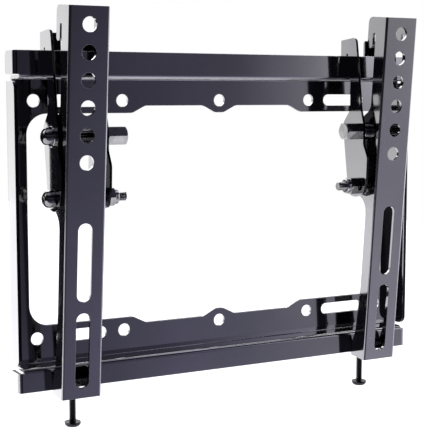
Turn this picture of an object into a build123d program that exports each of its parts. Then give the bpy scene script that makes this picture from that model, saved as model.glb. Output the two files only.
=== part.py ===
"""Tilting wall bracket for a television: a folded wall plate that carries two hooked, tilting arms.

Millimetres. +Z is up and the wall is the plane Y = 0, with the bracket in front of it on the -Y side.
The origin is the middle of the wall plate's back face, level with the middle of its bolt holes.
Everything of the right-hand arm is drawn once, and mirrored for the left-hand arm.
"""

import os
from math import acos, cos, pi, radians, sin, tan

from build123d import *

os.makedirs("parts", exist_ok=True)

# wall plate, folded from one sheet
plate_width = 272.8
plate_height = 193.4
plate_sheet = 2.0
plate_bend_inside = 0.4
rail_depth = 14.9
upper_rail_height = 15.7
lower_rail_height = 13.8
rail_end_relief = 0.8
side_member_width = 11.4
window_hole_margin = 7.4
window_corner_radius = 12.0
scallop_depth = 4.3
scallop_inner = 11.5
scallop_outer = 50.5
hole_row_height = 68.7
wall_hole_radius = 3.75
middle_hole_offset = 65.4
outer_hole_inset = 15.8
wall_slot_inset = 43.6
wall_slot_length = 31.6
wall_slot_height = 7.2
flange_end_gap = 1.2
flange_corner_radius = 5.0
tab_wall_gap = 0.4

# bends of the arms and the hook brackets
bend_radius = 1.2

# arm, a channel with its open side towards the wall
arm_foot_clearance = 3.0
arm_width = 23.9
arm_sheet = 1.8
arm_inset = 32.05
arm_tilt = 5.0
arm_hole_radius = 4.22
arm_hole_count = 6
arm_hole_pitch = 15.0
first_hole_drop = 9.9
arm_slot_width = 8.5
upper_slot_start = 118.7
upper_slot_length = 44.9
lower_slot_start = 170.1
lower_slot_length = 44.1
tongue_depth = 18.5
tongue_length = 19.6
tongue_slit_width = 2.8
upper_flange_depth = 10.6
bolt_flange_depth = 22.0
bolt_flange_start = 57.8
lower_flange_depth = 8.8
lower_flange_start = 117.5
screw_tab_width = 8.0
screw_tab_end = 6.5

# hook bracket, a channel that hangs on the upper rail
hook_sheet = 1.5
hook_back = 6.0
hook_tip_gap = 4.6
hook_rise = 11.6
hook_notch_width = 6.1
hook_slot_width = 2.5
contact_gap = 0.02

# tilt pivot above, tilt lock below
pivot_depth = 27.2
pivot_height = 49.05
pivot_drop = 72.0
pivot_set_back = 14.9
lock_spacing = 35.0
tilt_back = 8.0
spacer_length = 3.6
spacer_radius = 5.8
sleeve_radius = 4.9
pivot_bolt_radius = 3.0
lock_bolt_radius = 2.8
running_gap = 0.05
head_radius = 5.2
pivot_head_height = 5.2
lock_head_height = 6.0
pivot_washer_radius = 5.9
pivot_washer_length = 2.2
nut_across_flats = 10.0
pivot_nut_length = 11.8
lock_nut_length = 5.6
lock_collar_length = 2.4
lock_bolt_overhang = 5.6
dome_steps = 3

# safety screw, upright below the lower rail
screw_radius = 2.1
screw_depth = 10.1
screw_length = 20.6
screw_tip_rise = 0.4
screw_head_radius = 4.9
screw_head_height = 3.0

# places that follow from the sizes above
rail_front = -rail_depth
lip_back = rail_front + plate_sheet
lip_top = plate_height / 2
plate_bend_outside = plate_bend_inside + plate_sheet
upper_ledge = lip_top - upper_rail_height
lower_ledge = lip_top - lower_rail_height
window_half_height = hole_row_height - window_hole_margin
outer_hole_offset = plate_width / 2 - outer_hole_inset
wall_slot_offset = plate_width / 2 - wall_slot_inset
arm_centre = plate_width / 2 - arm_inset
arm_inner = arm_centre - arm_width / 2
arm_outer = arm_centre + arm_width / 2
hook_inner = arm_inner - spacer_length - hook_sheet
hook_outer = arm_outer + hook_sheet
hook_middle = (hook_inner + hook_outer) / 2
pivot_y = -pivot_depth
pivot_z = pivot_height
tilt = radians(arm_tilt)
lock_y = pivot_y + lock_spacing * sin(tilt)
lock_z = pivot_z - lock_spacing * cos(tilt)
arm_top_y = pivot_y - pivot_drop * sin(tilt) - pivot_set_back * cos(tilt)
arm_top_z = pivot_z + pivot_drop * cos(tilt) - pivot_set_back * sin(tilt)
arm_foot_z = -lip_top - arm_foot_clearance
arm_length = (arm_top_z - arm_foot_z) / cos(tilt)
arm_foot_y = arm_top_y + arm_length * sin(tilt)
washer_face = hook_outer + pivot_washer_length


def rounded_face(corners):
    """Closed outline through corners given as (x, y, radius), each corner rounded to its radius."""
    curve = Curve()
    starts = []
    ends = []
    for index, (x, y, radius) in enumerate(corners):
        here = Vector(x, y)
        before = (Vector(*corners[index - 1][:2]) - here).normalized()
        after = (Vector(*corners[(index + 1) % len(corners)][:2]) - here).normalized()
        half_angle = acos(max(-1.0, min(1.0, before.dot(after)))) / 2
        if radius == 0:
            starts.append(here)
            ends.append(here)
            continue
        reach = radius / tan(half_angle)
        middle = here + (before + after).normalized() * (radius / sin(half_angle) - radius)
        starts.append(here + before * reach)
        ends.append(here + after * reach)
        curve += ThreePointArc(starts[-1], middle, ends[-1])
    for index in range(len(corners)):
        start = ends[index - 1]
        end = starts[index]
        if (end - start).length > 1e-6:
            curve += Line(start, end)
    return make_face(curve)


def along_x(sketch, start, end):
    """Sideways prism between two X positions, from a sketch drawn in Y and Z."""
    return extrude(Plane.YZ.offset(start) * sketch, end - start)


def upright(sketch, bottom, top):
    """Upright prism between two heights, from a sketch drawn in X and Y."""
    return extrude(Plane.XY.offset(bottom) * sketch, top - bottom)


def through_plate(sketch):
    """Cutter through the flat of the wall plate, from a sketch drawn in X and Z."""
    return extrude(Plane.XZ * sketch, 2 * plate_sheet, both=True)


def rod(radius, start, end, y, z):
    """Solid cylinder along X."""
    return Pos(start, y, z) * Rot(0, 90, 0) * Cylinder(radius, end - start, align=(Align.CENTER, Align.CENTER, Align.MIN))


def channel_section(inner, outer, floor, mouth, sheet):
    """Folded channel seen from above: its floor at one Y, its two sides reaching to the mouth."""
    towards = 1 if mouth > floor else -1
    inner_floor = floor + towards * sheet
    return rounded_face([
        (inner, mouth, 0),
        (inner, floor, bend_radius),
        (outer, floor, bend_radius),
        (outer, mouth, 0),
        (outer - sheet, mouth, 0),
        (outer - sheet, inner_floor, 0),
        (inner + sheet, inner_floor, 0),
        (inner + sheet, mouth, 0),
    ])


def rail_corners(ledge):
    """Corners of one rail in Y and Z, from the flat of the plate to its back: ledge forward, then lip up."""
    return [
        (-plate_sheet, ledge, plate_bend_inside),
        (rail_front, ledge, plate_bend_outside),
        (rail_front, lip_top, 0),
        (lip_back, lip_top, 0),
        (lip_back, ledge + plate_sheet, plate_bend_inside),
        (0, ledge + plate_sheet, plate_bend_outside),
    ]


def plate_section():
    """Folded section of the wall plate, the same all along the rails."""
    lower = [(y, -z, radius) for y, z, radius in reversed(rail_corners(lower_ledge))]
    return rounded_face(rail_corners(upper_ledge) + lower)


def plate_window():
    """Opening of the wall plate, with scallops that leave more sheet round the bolt holes."""
    half_width = plate_width / 2 - side_member_width
    recess = window_half_height + scallop_depth
    slope = 8.5
    right = [
        (scallop_inner - slope, window_half_height, 6),
        (scallop_inner, recess, 6),
        (scallop_outer, recess, 6),
        (scallop_outer + slope, window_half_height, 6),
        (half_width, window_half_height, window_corner_radius),
    ]
    lower_right = [(x, -z, radius) for x, z, radius in reversed(right)]
    left = [(-x, z, radius) for x, z, radius in reversed(right + lower_right)]
    return rounded_face(right + lower_right + left)


def wall_holes():
    """Every bolt hole and slot of the wall plate, as one sketch."""
    holes = Sketch()
    for z in (-hole_row_height, hole_row_height):
        holes += Pos(0, z) * Circle(wall_hole_radius)
        for side in (-1, 1):
            holes += Pos(side * middle_hole_offset, z) * Circle(wall_hole_radius)
            holes += Pos(side * outer_hole_offset, z) * Circle(wall_hole_radius)
            holes += Pos(side * wall_slot_offset, z) * SlotOverall(wall_slot_length, wall_slot_height)
    return holes


def plate_side_flange():
    """Right edge of the wall plate, folded forward to stiffen the upright beside the window."""
    edge = plate_width / 2
    start = edge - 3 * plate_sheet
    top = upper_ledge - flange_end_gap
    bottom = flange_end_gap - lower_ledge
    section = rounded_face([
        (start, 0, 0),
        (edge, 0, plate_bend_outside),
        (edge, rail_front, 0),
        (edge - plate_sheet, rail_front, 0),
        (edge - plate_sheet, -plate_sheet, plate_bend_inside),
        (start, -plate_sheet, 0),
    ])
    side = rounded_face([
        (0, bottom, 0),
        (rail_front, bottom, flange_corner_radius),
        (rail_front, top, flange_corner_radius),
        (0, top, 0),
    ])
    return upright(section, bottom, top) & along_x(side, start, edge)


def rail_end_tab(ledge):
    """Right end of the upper rail, folded back towards the wall above a ledge at the given height."""
    edge = plate_width / 2
    start = edge - 3 * plate_sheet
    bottom = ledge + plate_bend_outside
    section = rounded_face([
        (start, rail_front, 0),
        (edge, rail_front, plate_bend_outside),
        (edge, -tab_wall_gap, 0),
        (edge - plate_sheet, -tab_wall_gap, 0),
        (edge - plate_sheet, lip_back, plate_bend_inside),
        (start, lip_back, 0),
    ])
    side = rounded_face([
        (rail_front, bottom, 0),
        (-tab_wall_gap, bottom, 2),
        (-tab_wall_gap, lip_top, 4),
        (rail_front, lip_top, 0),
    ])
    return upright(section, bottom, lip_top) & along_x(side, start, edge)


def wall_plate():
    trimmed = plate_width / 2 - plate_bend_outside - rail_end_relief
    body = along_x(plate_section(), -trimmed, trimmed)
    right_end = plate_side_flange() + rail_end_tab(upper_ledge) + mirror(rail_end_tab(lower_ledge), Plane.XY)
    body += right_end + mirror(right_end, Plane.YZ)
    body -= through_plate(plate_window())
    body -= through_plate(wall_holes())
    return body


def arm_flange_outline():
    """Side view of the arm before it is tilted: depth behind the front face, and height below its top."""
    slit_back = upper_flange_depth + tongue_slit_width
    slit_top = tongue_length - 9.6
    flare = bolt_flange_depth - upper_flange_depth
    touch = foot_depth()
    corners = [
        (0, 0, 0),
        (tongue_depth, 0, 4),
        (tongue_depth, tongue_length, 2.4),
        (slit_back, tongue_length, 2.4),
        (slit_back, slit_top, 1.2),
        (upper_flange_depth, slit_top, 1.2),
        (upper_flange_depth, bolt_flange_start, 8),
        (bolt_flange_depth, bolt_flange_start + 0.71 * flare, 5),
        (bolt_flange_depth, lower_flange_start - 6, 4),
        (lower_flange_depth, lower_flange_start, 10),
        (lower_flange_depth, arm_length - 48, 30),
        (lower_flange_depth + 2.4, arm_length - 17, 15),
        (touch, arm_length - 8, 4),
        (touch, arm_length, 1),
        (0, arm_length, 0),
    ]
    return rounded_face([(depth, -drop, radius) for depth, drop, radius in corners])


def foot_depth():
    """Depth of the arm's flanges at the foot, so that they just meet the lower rail."""
    touch_drop = (arm_top_z + lip_top - contact_gap) / cos(tilt)
    gap = (rail_front - contact_gap) - (arm_top_y + touch_drop * sin(tilt))
    return gap * cos(tilt)


def arm_front_openings():
    """Row of round holes and two slots for the screws of the television, in X and height."""
    openings = Sketch()
    for index in range(arm_hole_count):
        drop = first_hole_drop + index * arm_hole_pitch
        openings += Pos(arm_centre, -drop) * Circle(arm_hole_radius)
    for start, length in ((upper_slot_start, upper_slot_length), (lower_slot_start, lower_slot_length)):
        openings += Pos(arm_centre, -start - length / 2) * Rot(0, 0, 90) * SlotOverall(length, arm_slot_width)
    return openings


def tilted(shape):
    """Puts something drawn on the upright arm in its place on the tilted one."""
    return Pos(0, arm_top_y, arm_top_z) * Rot(arm_tilt, 0, 0) * shape


def screw_tab():
    """Level tab at the arm's foot that the safety screw is screwed through."""
    front = arm_foot_y + arm_sheet / 2
    tab = Box(screw_tab_width, -screw_tab_end - front, arm_sheet, align=(Align.CENTER, Align.MIN, Align.MIN))
    tab = Pos(hook_middle, front, arm_foot_z) * tab
    back_edges = tab.edges().filter_by(Axis.Z).group_by(Axis.Y)[-1]
    return fillet(back_edges, 2)


def right_arm():
    section = channel_section(arm_inner + contact_gap, arm_outer - contact_gap, 0, bolt_flange_depth + 1, arm_sheet)
    body = upright(section, -arm_length, 0) & along_x(arm_flange_outline(), arm_inner, arm_outer)
    body -= extrude(Plane.XZ * arm_front_openings(), 2 * arm_sheet, both=True)
    body = tilted(body) + screw_tab()
    body -= Pos(hook_middle, -screw_depth, arm_foot_z) * Cylinder(screw_radius + running_gap, 4 * arm_sheet)
    body -= rod(pivot_bolt_radius + running_gap, arm_inner - 1, arm_outer + 1, pivot_y, pivot_z)
    body -= rod(lock_bolt_radius + running_gap, arm_inner - 1, arm_outer + 1, lock_y, lock_z)
    return body


def hook_outline():
    """Side view of the hook bracket: hook over the rail, neck in front of it, wide foot at the bolts."""
    rail_gap = rail_front - contact_gap
    neck_back = rail_front - 2.6
    slot_top = lip_top + contact_gap
    slot_back = rail_gap + hook_slot_width
    hook_tip = upper_ledge + hook_tip_gap
    return rounded_face([
        (-hook_back, hook_tip, 1.5),
        (-hook_back, slot_top + hook_rise - 1.5, 2),
        (rail_front - 7.8, slot_top + hook_rise, 3.5),
        (rail_front - 9.9, lip_top - 1.8, 40),
        (rail_front - 14.2, pivot_z + 14, 25),
        (pivot_y - 5.3, pivot_z + 3, 6),
        (pivot_y - 4.8, pivot_z - 8, 6),
        (lock_y - 12.3, lock_z + 18.5, 6),
        (lock_y - 11.6, lock_z + 4, 8),
        (lock_y - 8.5, lock_z - 5, 4),
        (lock_y - 0.5, lock_z - 7.2, 6),
        (lock_y + 7.2, lock_z - 6.4, 5),
        (lock_y + 9.2, lock_z + 6, 12),
        (pivot_y + 15.6, pivot_z - 7, 25),
        (pivot_y + 16.6, pivot_z + 5.4, 1.2),
        (neck_back, window_half_height + 1, 3),
        (neck_back, upper_ledge, 1.2),
        (rail_gap, upper_ledge + plate_bend_outside, 1.2),
        (rail_gap, slot_top, 0),
        (slot_back, slot_top, 0),
        (slot_back, hook_tip, 1.5),
    ])


def tilt_slot():
    """Curved slot round the pivot that the lock bolt travels in, drawn in Y and Z."""
    clear = lock_bolt_radius + running_gap
    arc = CenterArc((pivot_y, pivot_z), lock_spacing, -90 - (tilt_back - arm_tilt), tilt_back)
    return SlotArc(arc, 2 * clear)


def right_hook_bracket():
    section = channel_section(hook_inner, hook_outer, -hook_back, -pivot_depth - 14, hook_sheet)
    body = upright(section, -lip_top, 2 * lip_top) & along_x(hook_outline(), hook_inner, hook_outer)
    notch_bottom = lip_top - 4
    notch = Pos(hook_middle, (notch_bottom + 2 * lip_top) / 2) * Rectangle(hook_notch_width, 2 * lip_top - notch_bottom)
    body -= extrude(Plane.XZ.offset(hook_back + hook_sheet / 2) * fillet(notch.vertices(), 2), 2 * hook_sheet, both=True)
    relief = Pos(rail_front + hook_slot_width / 2, lip_top + 0.8) * Circle(0.9)
    body -= along_x(relief, hook_inner - 1, hook_outer + 1)
    body -= rod(pivot_bolt_radius + running_gap, hook_inner - 1, hook_outer + 1, pivot_y, pivot_z)
    body -= along_x(tilt_slot(), hook_inner - 1, hook_outer + 1)
    return body


def dome(radius, height, rounding):
    """Round bar along +Z whose far edge is rounded in a few straight steps."""
    outline = [(0, 0), (radius, 0)]
    for step in range(dome_steps + 1):
        angle = pi / 2 * step / dome_steps
        outline.append((radius - rounding * (1 - cos(angle)), height - rounding * (1 - sin(angle))))
    outline.append((0, height))
    return revolve(Plane.XZ * make_face(Polyline(*outline, close=True)), Axis.Z)


def domed_bolt(radius, head_height, length):
    """Bolt along +Z with its head below Z = 0: round head with a hexagon socket, and a plain shank."""
    head = Rot(180, 0, 0) * dome(head_radius, head_height, head_radius * 0.72)
    socket = Pos(0, 0, -head_height) * extrude(RegularPolygon(2.3, 6), 2.6)
    shank = Cylinder(radius, length, align=(Align.CENTER, Align.CENTER, Align.MIN))
    shank = chamfer(shank.edges().group_by(Axis.Z)[-1], 0.5)
    return head - socket + shank


def hexagon(length, round_end):
    """Hexagon bar along +Z with both ends turned, the far one more round."""
    corner_radius = nut_across_flats / 2 / cos(pi / 6)
    blank = dome(corner_radius - 0.1, length, round_end)
    blank = chamfer(blank.edges().group_by(Axis.Z)[0], 0.5)
    return blank & extrude(Rot(0, 0, 30) * RegularPolygon(corner_radius, 6), length)


def inward(x, y, z):
    """Placement that turns +Z to point at the middle of the wall plate."""
    return Pos(x, y, z) * Rot(0, -90, 0)


def ring(outer_radius, inner_radius, length):
    blank = Cylinder(outer_radius, length, align=(Align.CENTER, Align.CENTER, Align.MIN))
    return blank - Cylinder(inner_radius, 3 * length)


def right_pivot_bolt():
    length = washer_face - hook_inner + pivot_nut_length - 3.5
    return inward(washer_face, pivot_y, pivot_z) * domed_bolt(pivot_bolt_radius, pivot_head_height, length)


def right_pivot_washer():
    washer = ring(pivot_washer_radius, pivot_bolt_radius + running_gap, pivot_washer_length)
    washer = chamfer(washer.edges().group_by(Axis.Z)[0].sort_by(SortBy.LENGTH)[-1], 0.4)
    return inward(washer_face, pivot_y, pivot_z) * washer


def right_pivot_nut():
    nut = hexagon(pivot_nut_length, 1.6)
    bore = Cylinder(pivot_bolt_radius + contact_gap, pivot_nut_length - 3, align=(Align.CENTER, Align.CENTER, Align.MIN))
    return inward(hook_inner, pivot_y, pivot_z) * (nut - bore)


def right_spacer(bolt_radius, y, z):
    spacer = ring(spacer_radius, bolt_radius + running_gap, spacer_length - contact_gap)
    spacer = chamfer(spacer.edges().filter_by(GeomType.CIRCLE), 0.3)
    return inward(arm_inner, y, z) * spacer


def right_pivot_sleeve():
    """Tube on the pivot bolt that keeps the arm's two sides apart."""
    end_gap = arm_sheet + 2 * contact_gap
    sleeve = ring(sleeve_radius, pivot_bolt_radius + running_gap, arm_width - 2 * end_gap)
    return inward(arm_outer - end_gap, pivot_y, pivot_z) * sleeve


def right_lock_bolt():
    length = hook_outer - hook_inner + lock_nut_length + lock_collar_length + lock_bolt_overhang
    return inward(hook_outer + contact_gap, lock_y, lock_z) * domed_bolt(lock_bolt_radius, lock_head_height, length)


def right_lock_nut():
    """Hexagon with a round collar that holds the nylon ring."""
    collar_radius = nut_across_flats / 2 - 0.35
    collar = Pos(0, 0, lock_nut_length) * ring(collar_radius, lock_bolt_radius + 1, lock_collar_length)
    collar = chamfer(collar.edges().group_by(Axis.Z)[-1].sort_by(SortBy.LENGTH)[-1], 0.6)
    nut = hexagon(lock_nut_length, 0.6) - Cylinder(lock_bolt_radius + contact_gap, 3 * lock_nut_length)
    return inward(hook_inner - contact_gap, lock_y, lock_z) * (nut + collar)


def right_lock_nut_ring():
    nylon = ring(lock_bolt_radius + 1 - contact_gap, lock_bolt_radius + contact_gap, lock_collar_length - 0.6)
    return inward(hook_inner - contact_gap - lock_nut_length, lock_y, lock_z) * nylon


def right_safety_screw():
    shank_top = arm_foot_z + arm_sheet + screw_tip_rise
    shank = Pos(0, 0, -screw_length) * Cylinder(screw_radius, screw_length, align=(Align.CENTER, Align.CENTER, Align.MIN))
    shank = chamfer(shank.edges().group_by(Axis.Z)[-1], 0.5)
    head = Rot(180, 0, 0) * dome(screw_head_radius, screw_head_height, screw_head_height * 0.85)
    socket = Pos(0, 0, -screw_head_height) * extrude(RegularPolygon(1.8, 6), 1.8)
    screw = shank + Pos(0, 0, -screw_length) * (head - socket)
    return Pos(hook_middle, -screw_depth, shank_top) * screw


def right_pieces():
    return {
        "arm": right_arm(),
        "hook_bracket": right_hook_bracket(),
        "pivot_bolt": right_pivot_bolt(),
        "pivot_washer": right_pivot_washer(),
        "pivot_nut": right_pivot_nut(),
        "pivot_spacer": right_spacer(pivot_bolt_radius, pivot_y, pivot_z),
        "pivot_sleeve": right_pivot_sleeve(),
        "lock_bolt": right_lock_bolt(),
        "lock_nut": right_lock_nut(),
        "lock_nut_ring": right_lock_nut_ring(),
        "lock_spacer": right_spacer(lock_bolt_radius, lock_y, lock_z),
        "safety_screw": right_safety_screw(),
    }


export_step(wall_plate(), "parts/wall_plate.step")
for name, piece in right_pieces().items():
    export_step(piece, f"parts/right_{name}.step")
    export_step(mirror(piece, Plane.YZ), f"parts/left_{name}.step")
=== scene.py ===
"""Dresses the tilting wall bracket: mirror-like steel, turned fasteners, camera, lamps and a room."""

import math

import bmesh
import bpy
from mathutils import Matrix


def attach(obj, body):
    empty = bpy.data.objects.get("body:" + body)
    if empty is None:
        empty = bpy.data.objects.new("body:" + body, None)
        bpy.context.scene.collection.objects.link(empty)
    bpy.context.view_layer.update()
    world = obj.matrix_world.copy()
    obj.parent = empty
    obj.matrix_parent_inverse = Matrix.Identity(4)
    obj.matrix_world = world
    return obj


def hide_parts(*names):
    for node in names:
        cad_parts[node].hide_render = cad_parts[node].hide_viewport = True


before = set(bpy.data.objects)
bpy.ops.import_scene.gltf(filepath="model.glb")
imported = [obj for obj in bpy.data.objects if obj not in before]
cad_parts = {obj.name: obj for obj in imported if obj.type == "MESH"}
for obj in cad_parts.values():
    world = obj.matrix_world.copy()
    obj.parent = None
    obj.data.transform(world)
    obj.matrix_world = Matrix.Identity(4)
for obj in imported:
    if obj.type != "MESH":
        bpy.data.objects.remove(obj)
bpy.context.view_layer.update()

SIDES = {"left": -1, "right": 1}
MM = 0.001

CAMERA_PLACE = (-0.34684, -0.62897, 0.07177)
CAMERA_ANGLES = (83.862, 0.01, -28.592)
CAMERA_LENS = 94.73
SENSOR_WIDTH = 36
NEAREST_SEEN = 0.01

FLOOR_HEIGHT = -0.42
FLOOR_HALF_WIDTH = 2.5
FLOOR_REACH = 0.45
FLOOR_COLOUR = (0.9, 0.9, 0.9, 1)
FLOOR_ROUGHNESS = 0.9
CAMERA_GLOW = 0.45

# centre lines and faces of the fasteners, in millimetres, as in the CAD model
ARM_TILT = math.radians(5)
LOCK_SPACING = 35.0
PIVOT = (-27.2, 49.05)
LOCK = (PIVOT[0] + LOCK_SPACING * math.sin(ARM_TILT), PIVOT[1] - LOCK_SPACING * math.cos(ARM_TILT))
WASHER_FACE = 120.0
HOOK_OUTER = 117.8
HOOK_INNER = 87.3
SCREW_PLACE = (102.55, -10.1)
SCREW_TOP = -97.5
CONTACT_GAP = 0.02

# sizes of the fasteners, in millimetres; half widths are half of the distance across a hexagon's flats
PIVOT_BOLT = {
    "head_radius": 5.2, "head_height": 5.2, "rounding": 3.6, "socket": 2.0, "socket_depth": 2.6,
    "radius": 3.0, "length": 41.0, "thread_start": 20.0, "pitch": 1.0,
}
LOCK_BOLT = {
    "head_radius": 5.2, "head_height": 6.0, "rounding": 3.7, "socket": 2.0, "socket_depth": 2.6,
    "radius": 2.8, "length": 44.1, "thread_start": 24.0, "pitch": 1.0,
}
SAFETY_SCREW = {
    "head_radius": 4.9, "head_height": 3.0, "rounding": 2.5, "socket": 1.55, "socket_depth": 1.8,
    "radius": 2.1, "length": 20.6, "thread_start": 1.0, "pitch": 0.8,
}
PIVOT_NUT = {"half_width": 5.0, "length": 11.8, "bore": 3.02, "bore_depth": 8.8}
LOCK_NUT = {"half_width": 5.0, "length": 5.6, "collar_length": 2.4, "bore": 2.82, "collar_bore": 3.8}

# small roundings and chamfers of the fasteners, in millimetres
SOCKET_CHAMFER = 0.15
HEAD_CHAMFER = 0.2
THREAD_END = 0.5
TIP_CHAMFER = 0.55
BORE_CHAMFER = 0.4
HEXAGON_INSET = 0.3
NUT_SEAT_ROUNDING = 0.5
CLOSED_END_ROUNDING = 0.9
COLLAR_SIDE_ROUNDING = 0.6
COLLAR_INSET = 0.35
COLLAR_ROLL = 0.7
COLLAR_LIP = 0.1

# a thread's depth is a share of its pitch, and a socket's rings reach past its corners
THREAD_SHARE = 0.45
SOCKET_REACH = 1.2
SOCKET_MOUTH = 1.25

# steps round a fastener, along one turn of thread and in its roundings, and the angle that stays sharp
SEGMENTS = 48
STEPS_PER_TURN = 8
ROUNDING_STEPS = 8
HEXAGON_STEPS = 5
COLLAR_STEPS = 5
SHARP_ANGLE = math.radians(30)

# Finishes of the steel: grey metal, which looks black only where it reflects the dim front of the room.
# Rounding is the width of the painted highlights and painted dark lines on the edges, in metres, and the
# last key the distance from the middle beyond which the faces to the front, top and bottom are painted black
# as shade.
# painted light on the edges: a near-black colour that paints dark lines of shade, and a pale colour that
# paints a highlight
PAINTED_DARK_EDGE = (0.06, 0.06, 0.064)
PAINTED_HIGHLIGHT_EDGE = (0.5, 0.5, 0.52)
# painted shade: near-black on the faces to the front, top and bottom away from the middle
PAINTED_SHADE_COLOUR = (0.012, 0.012, 0.014)
PAINTS = {
    "arm_paint": {
        "colour": (0.187, 0.184, 0.193), "roughness": 0.1, "painted_edge_colour": PAINTED_DARK_EDGE, "rounding": 0.0003,
    },
    "plate_paint": {
        "colour": (0.193, 0.19, 0.199), "roughness": 0.07, "painted_edge_colour": PAINTED_HIGHLIGHT_EDGE, "rounding": 0.0005,
        # painted shade on the faces of the side flanges beyond this distance
        "painted_shade_from": 0.1343,
    },
    "hook_paint": {
        "colour": (0.18, 0.177, 0.186), "roughness": 0.08, "painted_edge_colour": PAINTED_DARK_EDGE, "rounding": 0.0003,
        # on the hook the painted shade covers nearly all faces to the front, top and bottom
        "painted_shade_from": 0.01,
    },
}
PLATINGS = {
    "bolt_metal": {
        "colour": (0.12, 0.12, 0.124), "dark_colour": (0.08, 0.08, 0.083), "roughness": 0.08, "coat": 0.9,
    },
    "nut_metal": {
        "colour": (0.25, 0.25, 0.255), "dark_colour": (0.17, 0.17, 0.175), "roughness": 0.08, "coat": 0.0,
    },
    "screw_metal": {
        "colour": (0.025, 0.025, 0.027), "dark_colour": (0.015, 0.015, 0.016), "roughness": 0.1, "coat": 0.0,
    },
}
FINISH_OF = {
    "arm": "arm_paint",
    "hook_bracket": "hook_paint",
    "pivot_bolt": "bolt_metal",
    "pivot_washer": "bolt_metal",
    "pivot_nut": "nut_metal",
    "pivot_spacer": "nut_metal",
    "pivot_sleeve": "nut_metal",
    "lock_bolt": "bolt_metal",
    "lock_nut": "nut_metal",
    "lock_nut_ring": "ring_nylon",
    "lock_spacer": "nut_metal",
    "safety_screw": "screw_metal",
}
NYLON_DARK = (0.05, 0.055, 0.07)
NYLON_LIGHT = (0.1, 0.11, 0.14)

# the paint's patches are darker by the depth of the mottling, its specks brighter by a factor
MOTTLE_DEPTH = 0.03
SPECK_GAIN = 1.3
WORN_GAIN = 1.2
WORN_WIDTH = 0.00025
PLATING_ROUNDING = 0.00015
PAINT_COAT = 0.6
PAINT_COAT_ROUGHNESS = 0.03

# shares of a finish's roughness between which it wanders
SMOOTHEST = 0.7
ROUGHEST = 1.4
BEVEL_SAMPLES = 4

# Brightness of the room in reflections. A band is (axis, from, to, value before, value after) along a
# direction, with an even change between its two places. A light is the product of its bands. They were
# fitted by trial to the reflections in the photograph, so they suit that view: from the side, from behind
# and from below, the steel looks paler than black paint does.
FRONT = ("Y", -0.4, 0.1, 1.0, 0.0)
DUSK = ("X", -0.05, 0.2, 0.8, 1.0)

# the wall ahead: the sum of its bands across, times the sum of its bands up, within its limits
WALL_ACROSS = (("X", 0.3, 0.65, 0.1, 0.72), ("X", 0.52, 0.56, 0.0, 0.07))
WALL_UP = (
    ("Z", -0.62, -0.48, 2.2, 0.0),
    ("Z", -0.45, -0.22, 0.9, 0.0),
    ("Z", -0.22, -0.07, 0.42, 0.0),
    ("Z", -0.07, 0.1, 0.65, 0.56),
)
WALL_LIMITS = (FRONT, ("Z", 0.38, 0.5, 1.0, 0.12), DUSK)

LIGHTS = {
    "window_ahead": (
        ("X", 0.5, 0.57, 0.0, 1.0), ("Z", -0.2, -0.08, 0.0, 0.4), ("Z", 0.1, 0.2, 1.0, 0.0), FRONT,
    ),
    "pane_on_the_right": (
        ("X", 0.556, 0.59, 0.0, 1.15), ("Z", -0.045, 0.03, 0.0, 1.0), ("Z", 0.2, 0.3, 1.0, 0.0), FRONT,
    ),
    "low_corner": (("X", 0.3, 0.4, 0.1, 0.0), ("Z", -0.25, -0.18, 1.0, 0.0), FRONT, DUSK),
    "upper_window": (
        ("X", 0.44, 0.56, 0.1, 1.15), ("Z", 0.06, 0.16, 0.0, 1.0), ("Z", 0.35, 0.45, 1.0, 0.0), FRONT,
    ),
    "wall_behind": (("Y", -0.1, 0.4, 0.0, 0.45), ("X", -0.85, -0.6, 0.1, 1.0)),
    "panel_behind_left": (
        ("X", -0.2, -0.1, 1.8, 0.0), ("X", -0.78, -0.68, 0.0, 1.0), ("Y", 0.5, 0.62, 0.0, 1.0),
        ("Z", -0.2, 0.12, 1.4, 0.71), ("Z", -0.2, -0.12, 1.0, 0.9), ("Z", 0.0, 0.06, 1.0, 1.12),
        ("X", -0.6, -0.45, 0.81, 1.0),
    ),
    "wall_on_the_right": (("X", 0.66, 0.76, 0.0, 2.2), ("Z", 0.45, 0.6, 1.0, 0.0)),
    "ceiling": (("Z", 0.6, 0.95, 0.0, 0.2),),
    "strip_overhead": (
        ("Z", 0.7, 0.8, 0.0, 2.5), ("Y", -0.4, -0.3, 0.0, 1.0), ("Y", 0.1, 0.2, 1.0, 0.0),
        ("X", 0.4, 0.6, 0.35, 1.8),
    ),
    "lantern_behind": (("Y", 0.3, 0.45, 0.0, 3.5), ("Z", 0.25, 0.4, 0.0, 1.0)),
}

# how cool the front of the room is: less to the right, and there less again above its low part
COOL_ACROSS = ("X", 0.45, 0.56, 1.0, 0.42)
COOL_LOSS = (("X", 0.53, 0.57, 0.0, 1.0), ("Z", -0.16, -0.08, 0.0, -0.22))
COOL_TINT = (0.92, 0.89, 1.27, 1)
WHITE = (1, 1, 1, 1)

# brightness of the room where it lights rough surfaces, and where the camera sees it
LIT_BRIGHTNESS = 0.6
SEEN_BRIGHTNESS = 1.0

# the floor's glow in reflections: brighter to the left, nearly out to the right of the bracket
FLOOR_LEFT = ("X", -0.35, 0.0, 1.6, 1.0)
FLOOR_RIGHT = ("X", 0.34, 0.44, 1.0, 0.2)

LAMP_SIZE = 0.8
LAMPS = {
    "key_lamp": {"place": (0.6, -1.0, 1.6), "power": 14},
    "fill_lamp": {"place": (-1.5, -0.2, 0.9), "power": 8},
}


def make_camera():
    data = bpy.data.cameras.new("camera")
    data.lens = CAMERA_LENS
    data.sensor_width = SENSOR_WIDTH
    data.clip_start = NEAREST_SEEN
    camera = bpy.data.objects.new("camera", data)
    camera.location = CAMERA_PLACE
    camera.rotation_euler = [math.radians(angle) for angle in CAMERA_ANGLES]
    bpy.context.scene.collection.objects.link(camera)
    bpy.context.scene.camera = camera


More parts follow.
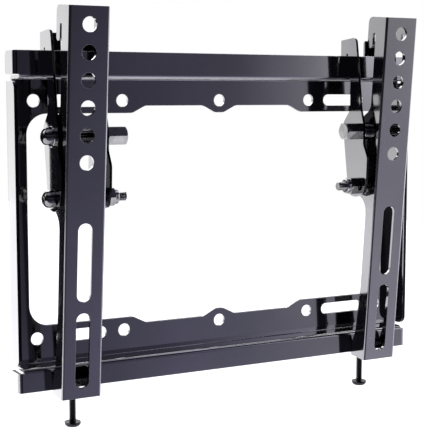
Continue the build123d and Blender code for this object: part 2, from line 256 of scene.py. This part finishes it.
class Tree:
    """A node tree, with short ways to add nodes, link them and calculate."""

    def __init__(self, tree):
        self.tree = tree

    def add(self, kind, **settings):
        node = self.tree.nodes.new(kind)
        for key, value in settings.items():
            setattr(node, key, value)
        return node

    def link(self, source, target):
        self.tree.links.new(source, target)

    def ranged(self, value, low, high, from_low=0.0, from_high=1.0):
        """Goes evenly from low to high while the value goes from from_low to from_high, and no further."""
        node = self.add("ShaderNodeMapRange")
        node.inputs["From Min"].default_value = from_low
        node.inputs["From Max"].default_value = from_high
        node.inputs["To Min"].default_value = low
        node.inputs["To Max"].default_value = high
        self.link(value, node.inputs["Value"])
        return node.outputs["Result"]

    def joined(self, operation, *values):
        """All the values added or multiplied."""
        result = values[0]
        for value in values[1:]:
            node = self.add("ShaderNodeMath", operation=operation)
            self.link(result, node.inputs[0])
            self.link(value, node.inputs[1])
            result = node.outputs[0]
        return result

    def parts(self, vector):
        """The X, Y and Z of a vector."""
        node = self.add("ShaderNodeSeparateXYZ")
        self.link(vector, node.inputs["Vector"])
        return node.outputs


class Finish(Tree):
    """A material's node tree, with the steps that the finishes share."""

    def __init__(self, name):
        self.material = bpy.data.materials.new(name)
        self.material.use_nodes = True
        super().__init__(self.material.node_tree)
        self.shader = self.tree.nodes["Principled BSDF"]

    def noise(self, scale, detail, stretch=None):
        coordinates = self.add("ShaderNodeTexCoord").outputs["Object"]
        if stretch:
            mapping = self.add("ShaderNodeMapping")
            mapping.inputs["Scale"].default_value = stretch
            self.link(coordinates, mapping.inputs["Vector"])
            coordinates = mapping.outputs["Vector"]
        texture = self.add("ShaderNodeTexNoise")
        texture.inputs["Scale"].default_value = scale
        texture.inputs["Detail"].default_value = detail
        self.link(coordinates, texture.inputs["Vector"])
        return texture.outputs["Fac"]

    def mixed(self, factor, first, second):
        node = self.add("ShaderNodeMix", data_type="RGBA")
        self.link(factor, node.inputs["Factor"])
        for value, socket in ((first, node.inputs["A"]), (second, node.inputs["B"])):
            if isinstance(value, tuple):
                socket.default_value = (*value, 1)
            else:
                self.link(value, socket)
        return node.outputs["Result"]

    def absolute(self, value):
        node = self.add("ShaderNodeMath", operation="ABSOLUTE")
        self.link(value, node.inputs[0])
        return node.outputs[0]

    def rounded_normal(self, radius):
        node = self.add("ShaderNodeBevel", samples=BEVEL_SAMPLES)
        node.inputs["Radius"].default_value = radius
        return node.outputs["Normal"]

    def edge_mask(self, radius):
        """1 on the sharp edges of the shape, 0 on its flats."""
        dot = self.add("ShaderNodeVectorMath", operation="DOT_PRODUCT")
        self.link(self.rounded_normal(radius), dot.inputs[0])
        self.link(self.add("ShaderNodeNewGeometry").outputs["Normal"], dot.inputs[1])
        return self.ranged(dot.outputs["Value"], low=1.0, high=0.0, from_low=0.5, from_high=1.0)

    def painted_shade_mask(self, distance):
        """Where painted shade goes: 1 on faces to the front, top or bottom beyond a distance from the
        middle, 0 elsewhere.
        """
        coordinates = self.add("ShaderNodeTexCoord")
        outside = self.add("ShaderNodeMath", operation="GREATER_THAN")
        outside.inputs[1].default_value = distance
        self.link(self.absolute(self.parts(coordinates.outputs["Object"])["X"]), outside.inputs[0])
        facing = self.parts(coordinates.outputs["Normal"])
        sideways = self.absolute(facing["X"])
        not_sideways = self.ranged(sideways, low=1.0, high=0.0, from_low=0.2, from_high=0.5)
        not_back = self.ranged(facing["Y"], low=1.0, high=0.0, from_low=0.2, from_high=0.5)
        return self.joined("MULTIPLY", outside.outputs[0], not_sideways, not_back)

    def patches(self, scale):
        """Cloudy mask from 0 to 1."""
        return self.ranged(self.noise(scale, detail=4), low=0.0, high=1.0, from_low=0.35, from_high=0.65)

    def smeared(self, roughness, scale, detail, stretch=None):
        """Sets a roughness that wanders round a value."""
        smear = self.ranged(self.noise(scale, detail, stretch), low=roughness * SMOOTHEST,
                            high=roughness * ROUGHEST, from_low=0.3, from_high=0.7)
        self.link(smear, self.shader.inputs["Roughness"])

    def bump(self, height, strength, distance, rounding=0.0):
        node = self.add("ShaderNodeBump")
        node.inputs["Strength"].default_value = strength
        node.inputs["Distance"].default_value = distance
        self.link(height, node.inputs["Height"])
        if rounding:
            self.link(self.rounded_normal(rounding), node.inputs["Normal"])
        self.link(node.outputs["Normal"], self.shader.inputs["Normal"])


def painted_steel(name, colour, roughness, painted_edge_colour, rounding, painted_shade_from=None):
    """Dark mirror finish of folded steel: faint mottling, fine orange peel, a painted highlight or painted
    dark line on the edges, and painted shade on some faces where set.
    """
    finish = Finish(name)
    patch_colour = tuple(part - MOTTLE_DEPTH for part in colour)
    speck_colour = tuple(SPECK_GAIN * part for part in colour)
    specks = finish.ranged(finish.noise(scale=900, detail=2),
                           low=0.0, high=0.5, from_low=0.62, from_high=0.75)
    paint = finish.mixed(finish.patches(scale=14), patch_colour, colour)
    paint = finish.mixed(specks, paint, speck_colour)
    # painted highlight or painted dark line along the sharp edges
    paint = finish.mixed(finish.edge_mask(rounding), paint, painted_edge_colour)
    if painted_shade_from:
        # painted shade: these faces are painted near-black and lose their coat
        painted_shade = finish.painted_shade_mask(painted_shade_from)
        paint = finish.mixed(painted_shade, paint, PAINTED_SHADE_COLOUR)
        finish.link(finish.ranged(painted_shade, low=PAINT_COAT, high=0.0), finish.shader.inputs["Coat Weight"])
    else:
        finish.shader.inputs["Coat Weight"].default_value = PAINT_COAT
    finish.link(paint, finish.shader.inputs["Base Color"])
    finish.smeared(roughness, scale=30, detail=5, stretch=(1, 1, 0.35))
    finish.shader.inputs["Metallic"].default_value = 1.0
    finish.shader.inputs["Coat Roughness"].default_value = PAINT_COAT_ROUGHNESS
    finish.bump(finish.noise(scale=450, detail=2), strength=0.06, distance=0.00004, rounding=rounding)
    return finish.material


def plated_steel(name, colour, dark_colour, roughness, coat):
    """Dark zinc plating: cloudy colour, fine turning marks, brighter worn edges, a clear coat where set."""
    finish = Finish(name)
    worn_colour = tuple(WORN_GAIN * part for part in colour)
    plating = finish.mixed(finish.patches(scale=160), dark_colour, colour)
    worn = finish.mixed(finish.edge_mask(WORN_WIDTH), plating, worn_colour)
    finish.link(worn, finish.shader.inputs["Base Color"])
    finish.smeared(roughness, scale=300, detail=4)
    finish.shader.inputs["Metallic"].default_value = 1.0
    finish.shader.inputs["Coat Weight"].default_value = coat
    finish.bump(finish.noise(scale=2500, detail=3, stretch=(0.2, 1, 1)),
                strength=0.15, distance=0.00002, rounding=PLATING_ROUNDING)
    return finish.material


def nylon(name):
    """Dark bluish nylon, a little uneven."""
    finish = Finish(name)
    tone = finish.mixed(finish.noise(scale=800, detail=3), NYLON_DARK, NYLON_LIGHT)
    smear = finish.ranged(finish.noise(scale=1500, detail=2), low=0.4, high=0.6)
    finish.link(tone, finish.shader.inputs["Base Color"])
    finish.link(smear, finish.shader.inputs["Roughness"])
    finish.bump(finish.noise(scale=3000, detail=2), strength=0.1, distance=0.00002)
    return finish.material


def quarter_turn(steps):
    """Angles from 0 to a right angle, in even steps."""
    return [math.pi / 2 * step / steps for step in range(steps + 1)]


class Turned:
    """Mesh of rings round its own axis, whose rings may be hexagons or carry a thread."""

    def __init__(self):
        self.rings = []

    def ring(self, height, radius, half_width=None, thread=None):
        """One ring: round, held inside a hexagon of a half width, or cut by a thread of (depth, pitch)."""
        points = []
        for step in range(SEGMENTS):
            angle = 2 * math.pi * step / SEGMENTS
            reach = radius
            if half_width:
                from_flat = (angle + math.pi / 6) % (math.pi / 3) - math.pi / 6
                reach = min(reach, half_width / math.cos(from_flat))
            if thread:
                depth, pitch = thread
                phase = (height / pitch - step / SEGMENTS) % 1
                reach -= depth * abs(2 * phase - 1)
            points.append((reach * math.cos(angle), reach * math.sin(angle), height))
        self.rings.append(points)

    def thread(self, start, end, radius, depth, pitch):
        """Threaded stretch that runs out at both ends."""
        steps = max(2, round(STEPS_PER_TURN * abs(end - start) / pitch))
        for step in range(steps + 1):
            height = start + (end - start) * step / steps
            left = min(abs(height - start), abs(end - height)) / pitch
            self.ring(height, radius, thread=(depth * min(1, left), pitch))

    def rounded(self, start, end, outer, inner):
        """Quarter round from a flat face at start, with the inner radius, to a side at end."""
        for angle in quarter_turn(ROUNDING_STEPS):
            self.ring(end + (start - end) * math.cos(angle), inner + (outer - inner) * math.sin(angle))

    def hexagon(self, length, half_width, first, last):
        """Hexagon side from 0 to a length, whose turned ends take up the lengths first and last."""
        corner = half_width / math.cos(math.pi / 6)
        least = half_width - HEXAGON_INSET
        for angle in quarter_turn(HEXAGON_STEPS):
            self.ring(first * (1 - math.cos(angle)), least + (corner - least) * math.sin(angle), half_width)
        for angle in quarter_turn(HEXAGON_STEPS):
            self.ring(length - last * (1 - math.sin(angle)), least + (corner - least) * math.cos(angle),
                      half_width)

    def mesh(self, name, placed, through=False):
        """The rings as one closed mesh, whose ends are joined to each other with through, else capped."""
        form = bmesh.new()
        rings = []
        for points in self.rings:
            rings.append([form.verts.new([part * MM for part in placed(*point)]) for point in points])
        pairs = list(zip(rings, rings[1:]))
        if through:
            pairs.append((rings[-1], rings[0]))
        else:
            form.faces.new(rings[0])
            form.faces.new(rings[-1])
        for lower, upper in pairs:
            for step in range(SEGMENTS):
                after = (step + 1) % SEGMENTS
                form.faces.new((lower[step], lower[after], upper[after], upper[step]))
        bmesh.ops.recalc_face_normals(form, faces=form.faces)
        mesh = bpy.data.meshes.new(name)
        form.to_mesh(mesh)
        form.free()
        mesh.shade_smooth()
        mesh.set_sharp_from_angle(angle=SHARP_ANGLE)
        return mesh


def turned_bolt(head_radius, head_height, rounding, socket, socket_depth, radius, length, thread_start,
                pitch):
    """Bolt along +Z with its head below 0: hexagon socket, domed head, shank, thread and turned tip."""
    bolt = Turned()
    bolt.ring(socket_depth - head_height, socket * SOCKET_REACH, socket)
    bolt.ring(SOCKET_CHAMFER - head_height, socket * SOCKET_REACH, socket)
    bolt.ring(-head_height, socket * SOCKET_MOUTH)
    bolt.rounded(-head_height, rounding - head_height, head_radius, head_radius - rounding)
    bolt.ring(-HEAD_CHAMFER, head_radius)
    bolt.ring(0, head_radius - HEAD_CHAMFER)
    bolt.ring(0, radius)
    bolt.thread(thread_start, length - THREAD_END, radius, pitch * THREAD_SHARE, pitch)
    bolt.ring(length, radius - TIP_CHAMFER)
    return bolt


def closed_nut(half_width, length, bore, bore_depth):
    """Long hexagon nut with a blind bore and a rounded far end."""
    nut = Turned()
    nut.ring(bore_depth, bore)
    nut.ring(BORE_CHAMFER, bore)
    nut.ring(0, bore + BORE_CHAMFER)
    nut.hexagon(length, half_width, NUT_SEAT_ROUNDING, CLOSED_END_ROUNDING)
    nut.ring(length, half_width - CLOSED_END_ROUNDING)
    return nut


def collared_nut(half_width, length, collar_length, bore, collar_bore):
    """Hexagon nut with a rolled collar, which is left open for the nylon ring."""
    nut = Turned()
    collar = half_width - COLLAR_INSET
    top = length + collar_length
    nut.ring(BORE_CHAMFER, bore)
    nut.ring(0, bore + BORE_CHAMFER)
    nut.hexagon(length, half_width, NUT_SEAT_ROUNDING, COLLAR_SIDE_ROUNDING)
    nut.ring(length, collar)
    for angle in quarter_turn(COLLAR_STEPS):
        nut.ring(top - COLLAR_ROLL * (1 - math.sin(angle)), collar - COLLAR_ROLL * (1 - math.cos(angle)))
    nut.ring(top - COLLAR_LIP, collar_bore)
    nut.ring(length, collar_bore)
    nut.ring(length, bore)
    return nut


def fitted(name, mesh, finish, body, node):
    """Puts a detailed fastener in the place of its plain CAD node."""
    mesh.materials.append(finish)
    piece = bpy.data.objects.new(name, mesh)
    bpy.context.scene.collection.objects.link(piece)
    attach(piece, body)
    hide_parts(node)


def inward(sign, start, line):
    """Places a fastener that points from X = start towards the middle, on a line given by its Y and Z."""
    return lambda x, y, z: (sign * (start - z), line[0] + y, line[1] + x)


def upward(sign):
    """Places a safety screw, which points up."""
    foot = SCREW_TOP - SAFETY_SCREW["length"]
    return lambda x, y, z: (sign * SCREW_PLACE[0] + x, SCREW_PLACE[1] + y, foot + z)


def fit_pivot(side, sign, finishes):
    """Bolt and closed nut of the tilt pivot, which ride with the hook bracket."""
    hanger = f"{side}_hanger"
    mesh = turned_bolt(**PIVOT_BOLT).mesh("pivot_bolt_mesh", inward(sign, WASHER_FACE, PIVOT))
    fitted(f"{side}_pivot_bolt_turned", mesh, finishes["bolt_metal"], hanger,
           f"{side}_pivot_bolt")
    mesh = closed_nut(**PIVOT_NUT).mesh("pivot_nut_mesh", inward(sign, HOOK_INNER, PIVOT))
    fitted(f"{side}_pivot_nut_turned", mesh, finishes["nut_metal"], hanger,
           f"{side}_pivot_nut")


def fit_lock(side, sign, finishes):
    """Bolt and collared nut of the tilt lock, which ride with the arm."""
    arm = f"{side}_tilt_arm"
    mesh = turned_bolt(**LOCK_BOLT).mesh("lock_bolt_mesh", inward(sign, HOOK_OUTER + CONTACT_GAP, LOCK))
    fitted(f"{side}_lock_bolt_turned", mesh, finishes["bolt_metal"], arm,
           f"{side}_lock_bolt")
    nut = collared_nut(**LOCK_NUT)
    mesh = nut.mesh("lock_nut_mesh", inward(sign, HOOK_INNER - CONTACT_GAP, LOCK), through=True)
    fitted(f"{side}_lock_nut_turned", mesh, finishes["nut_metal"], arm,
           f"{side}_lock_nut")


def fit_safety_screw(side, sign, finishes):
    """Screw that points up through the tab at the arm's foot."""
    mesh = turned_bolt(**SAFETY_SCREW).mesh("safety_screw_mesh", upward(sign))
    fitted(f"{side}_safety_screw_turned", mesh, finishes["screw_metal"], f"{side}_safety_screw_body",
           f"{side}_safety_screw")


def make_finishes():
    finishes = {"ring_nylon": nylon("ring_nylon")}
    for name, values in PAINTS.items():
        finishes[name] = painted_steel(name, **values)
    for name, values in PLATINGS.items():
        finishes[name] = plated_steel(name, **values)
    return finishes


def set_finish(piece, finish):
    for slot in piece.material_slots:
        slot.material = finish


def dress_nodes():
    """Gives every node of the frame its finish, and the bolts and nuts their detail."""
    finishes = make_finishes()
    set_finish(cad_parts["wall_plate"], finishes["plate_paint"])
    for side, sign in SIDES.items():
        for piece, finish in FINISH_OF.items():
            set_finish(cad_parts[f"{side}_{piece}"], finishes[finish])
        fit_pivot(side, sign, finishes)
        fit_lock(side, sign, finishes)
        fit_safety_screw(side, sign, finishes)


def banded(tree, parts, band):
    """The value of one band, from the parts of a place or direction."""
    axis, start, end, before, after = band
    return tree.ranged(parts[axis], before, after, start, end)


def make_stage():
    """White floor below and behind the bracket. It goes over into the white room and keeps the shadow."""
    mesh = bpy.data.meshes.new("floor")
    form = bmesh.new()
    bmesh.ops.create_grid(form, x_segments=1, y_segments=1, size=FLOOR_HALF_WIDTH)
    form.to_mesh(mesh)
    form.free()
    floor = bpy.data.objects.new("floor", mesh)
    floor.location = (0, FLOOR_HALF_WIDTH - FLOOR_REACH, FLOOR_HEIGHT)
    bpy.context.scene.collection.objects.link(floor)
    white = Finish("floor_white")
    white.shader.inputs["Base Color"].default_value = FLOOR_COLOUR
    white.shader.inputs["Roughness"].default_value = FLOOR_ROUGHNESS
    white.shader.inputs["Emission Color"].default_value = WHITE
    paths = white.add("ShaderNodeLightPath")
    place = white.parts(white.add("ShaderNodeNewGeometry").outputs["Position"])
    mirrored = white.joined("MULTIPLY", banded(white, place, FLOOR_LEFT), banded(white, place, FLOOR_RIGHT),
                            paths.outputs["Is Glossy Ray"])
    seen = white.ranged(paths.outputs["Is Camera Ray"], low=0.0, high=CAMERA_GLOW)
    white.link(white.joined("ADD", seen, mirrored), white.shader.inputs["Emission Strength"])
    floor.data.materials.append(white.material)


class Room(Tree):
    """The world: white to the camera, and in reflections a studio that is dim ahead and bright behind."""

    def __init__(self):
        world = bpy.data.worlds.new("room")
        world.use_nodes = True
        bpy.context.scene.world = world
        super().__init__(world.node_tree)
        self.direction = self.parts(self.add("ShaderNodeTexCoord").outputs["Generated"])

    def bands(self, operation, bands):
        """The bands of the direction, added or multiplied."""
        return self.joined(operation, *[banded(self, self.direction, band) for band in bands])

    def chosen(self, ray, value, other):
        """A plain value for one kind of ray, and the other brightness for the rest."""
        choice = self.add("ShaderNodeMix")
        self.link(self.add("ShaderNodeLightPath").outputs[ray], choice.inputs["Factor"])
        self.link(other, choice.inputs["A"])
        choice.inputs["B"].default_value = value
        return choice.outputs["Result"]

    def shine(self, strength, cool):
        """Sets the brightness, with a faintly cool tint where cool is 1."""
        background = self.tree.nodes["Background"]
        tint = self.add("ShaderNodeMix", data_type="RGBA")
        tint.inputs["A"].default_value = WHITE
        tint.inputs["B"].default_value = COOL_TINT
        self.link(self.chosen("Is Camera Ray", 0.0, cool), tint.inputs["Factor"])
        self.link(tint.outputs["Result"], background.inputs["Color"])
        self.link(strength, background.inputs["Strength"])


def make_world():
    """Studio seen in the steel: dim and bluish ahead, a pale panel behind on the left, a strip overhead."""
    room = Room()
    wall = room.joined("MULTIPLY", room.bands("ADD", WALL_ACROSS), room.bands("ADD", WALL_UP),
                       room.bands("MULTIPLY", WALL_LIMITS))
    lights = [room.bands("MULTIPLY", bands) for bands in LIGHTS.values()]
    strength = room.joined("ADD", wall, *lights)
    strength = room.chosen("Is Diffuse Ray", LIT_BRIGHTNESS, strength)
    strength = room.chosen("Is Camera Ray", SEEN_BRIGHTNESS, strength)
    across = room.bands("MULTIPLY", [COOL_ACROSS])
    cool = room.joined("ADD", across, room.bands("MULTIPLY", COOL_LOSS))
    room.shine(strength, room.joined("MULTIPLY", cool, room.bands("MULTIPLY", [FRONT])))


def lamp(name, place, power):
    """Square lamp that points at the origin and isn't seen in the steel."""
    data = bpy.data.lights.new(name, "AREA")
    data.size = LAMP_SIZE
    data.energy = power
    light = bpy.data.objects.new(name, data)
    light.location = place
    distance = math.hypot(*place)
    light.rotation_euler = (math.acos(place[2] / distance), 0, math.atan2(place[0], -place[1]))
    light.visible_glossy = False
    bpy.context.scene.collection.objects.link(light)


make_camera()
dress_nodes()
make_stage()
make_world()
for lamp_name, settings in LAMPS.items():
    lamp(lamp_name, **settings)
bpy.context.scene.view_settings.view_transform = "Standard"
